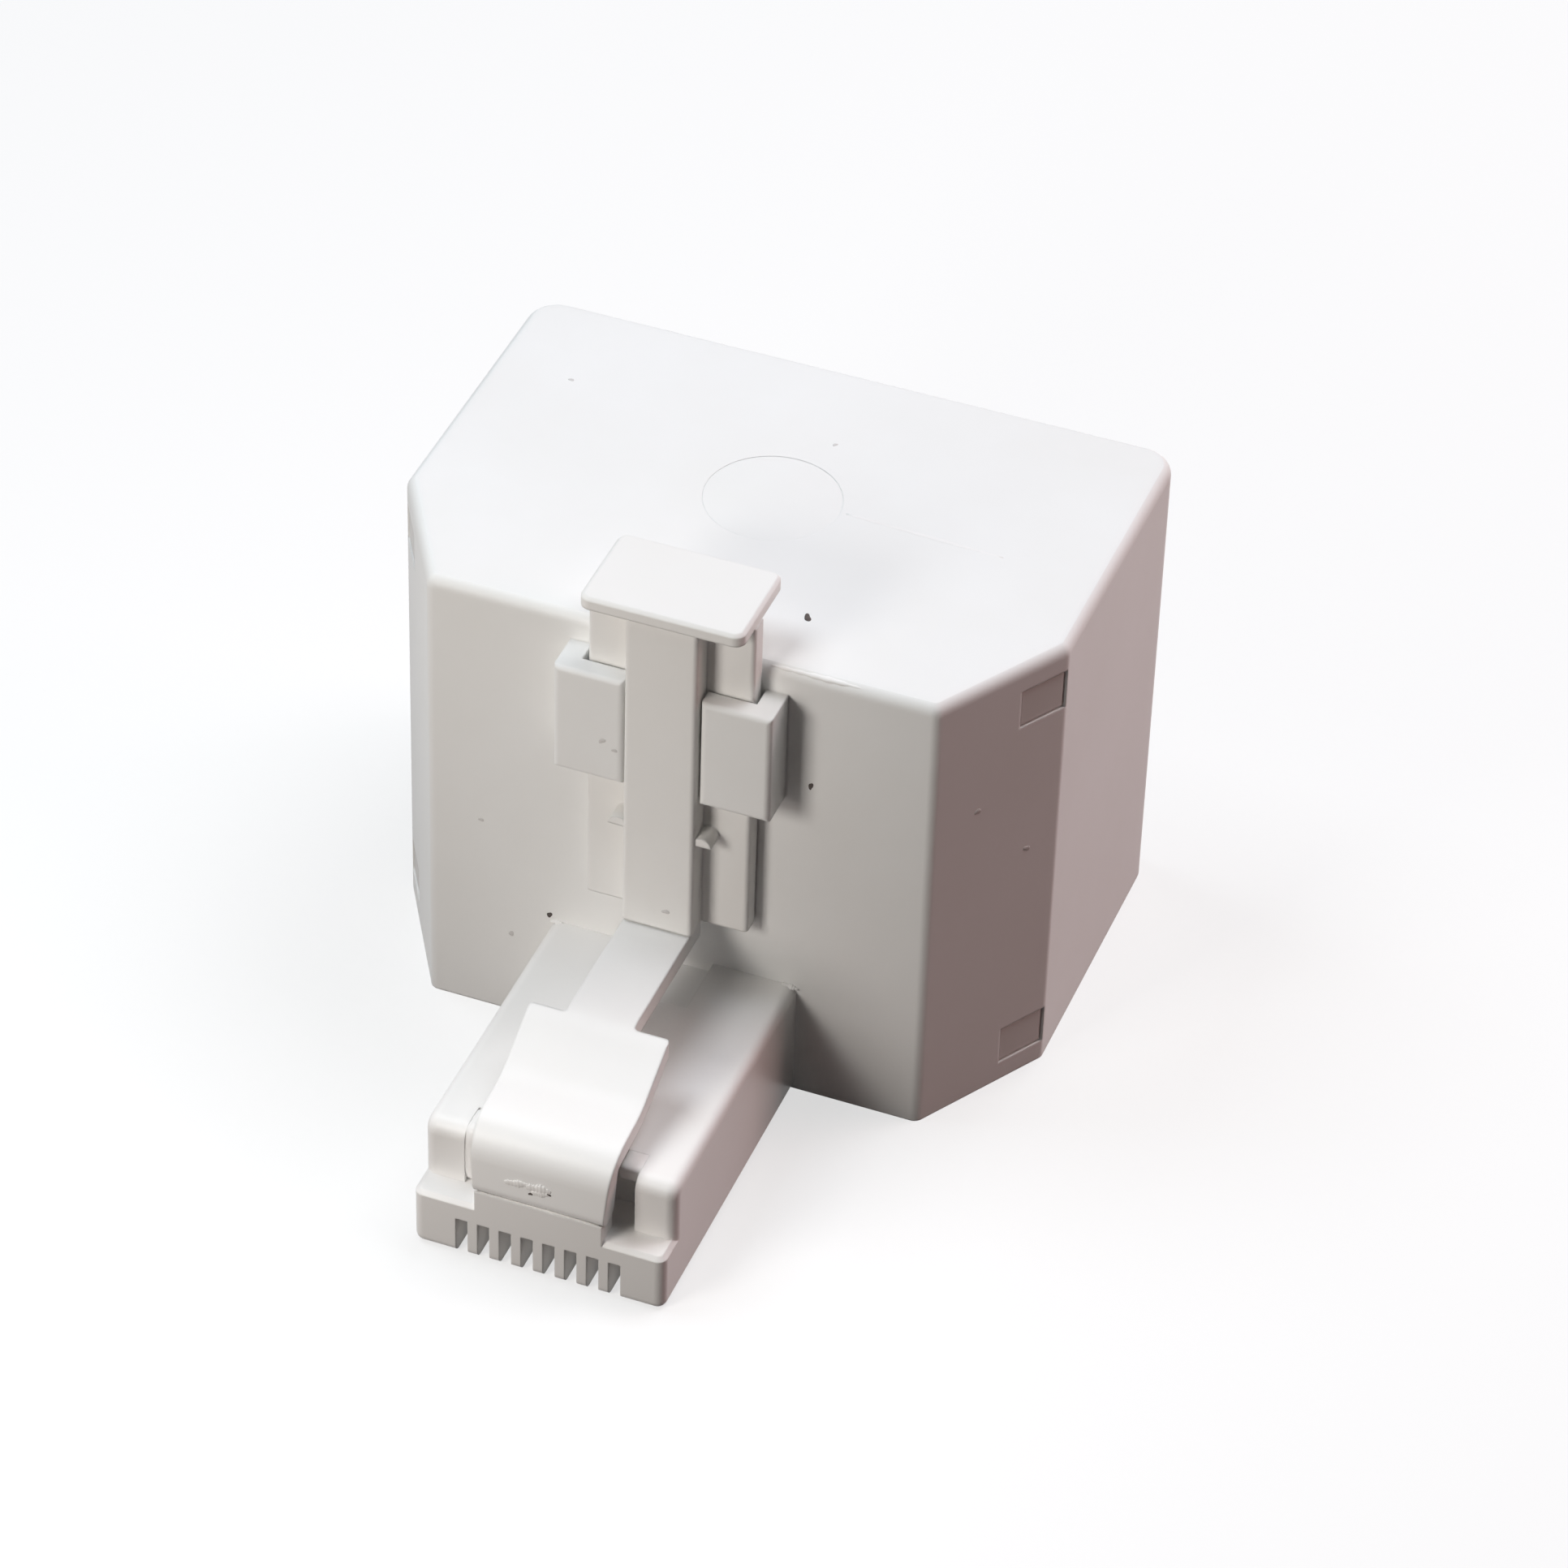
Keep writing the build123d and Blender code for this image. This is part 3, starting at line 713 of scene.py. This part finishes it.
def softbox(name, azimuth, elevation, distance, size, watts, colour):
    """A square area lamp aimed at the part, with its angles in degrees and its sizes in millimetres."""
    back = away(math.radians(azimuth), math.radians(elevation))
    lamp = bpy.data.lights.new(name, "AREA")
    lamp.size = size * MM
    lamp.energy = watts
    lamp.color = linear(colour)[:3]
    holder = bpy.data.objects.new(name, lamp)
    holder.location = (LAMP_AIM + back * distance) * MM
    holder.rotation_mode = "QUATERNION"
    holder.rotation_quaternion = Vector(-back).to_track_quat("-Z", "Y")
    bpy.context.scene.collection.objects.link(holder)
    print(name, "at", np.round(LAMP_AIM + back * distance), "mm")


softbox("left_softbox", -90, 62, distance=300, size=150, watts=0.38, colour="#ECF6FF")
softbox("rear_softbox", 147, 62, distance=300, size=180, watts=0.55, colour="#F8FBFF")
softbox("side_softbox", 115, 22, distance=300, size=150, watts=0.24, colour="#FFCCC6")
softbox("front_key", -23, 25, distance=85, size=26, watts=0.0262, colour="#FFFBF5")
softbox("nose_fill", -22, 7, distance=80, size=20, watts=0.0055, colour="#FFF4EE")

# %% [markdown]
# ## World
# There is almost no fill from the world, so the shadows stay deep. The world is white where
# the camera or a reflection sees past the floor, by the same ray test as the paper.

# %% World
world = bpy.data.worlds.new("studio_world")
bpy.context.scene.world = world
world.use_nodes = True
tree = world.node_tree
tree.nodes.clear()
fill = add(tree, "ShaderNodeBackground", {"Color": linear("#F4EFEC"), "Strength": 0.01})
blank = add(tree, "ShaderNodeBackground", {"Color": linear("#FFFFFF"), "Strength": 1.0})
sky = add(
    tree,
    "ShaderNodeMixShader",
    {0: seen_rays(tree), 1: fill.outputs["Background"], 2: blank.outputs["Background"]},
)
add(tree, "ShaderNodeOutputWorld", {"Surface": sky.outputs["Shader"]})
print("made", world.name)

# %% [markdown]
# ## Camera
# The camera was fitted to the photo's corners: it stands to the right of the plug, about
# forty degrees up, with a long lens, and is rolled a little. A tracking constraint could
# aim it, but not roll it, so its three axes are worked out from those angles and written
# into the matrix of the camera object.

# %% Camera
azimuth, elevation, roll = (math.radians(degrees) for degrees in (19.845, 39.489, -1.937))
target = np.array([1.472, 6.675, 8.899]) * MM
distance = 282.46 * MM
back = away(azimuth, elevation)
level = np.array([math.cos(azimuth), math.sin(azimuth), 0.0])
right = math.cos(roll) * level - math.sin(roll) * np.cross(back, level)
up = np.cross(back, right)
lens = bpy.data.cameras.new("photo_camera")
lens.sensor_width = 36.0
lens.lens = 144.0
lens.clip_start = 10 * MM
lens.clip_end = 20000 * MM
camera = bpy.data.objects.new("photo_camera", lens)
pose = np.eye(4)
pose[:3] = np.stack([right, up, back, target + distance * back], axis=1)
camera.matrix_world = pose.T.tolist()
bpy.context.scene.collection.objects.link(camera)
bpy.context.scene.camera = camera
bpy.context.scene.view_settings.view_transform = "Standard"
print("camera at", np.round(pose[:3, 3] / MM, 1), "mm")
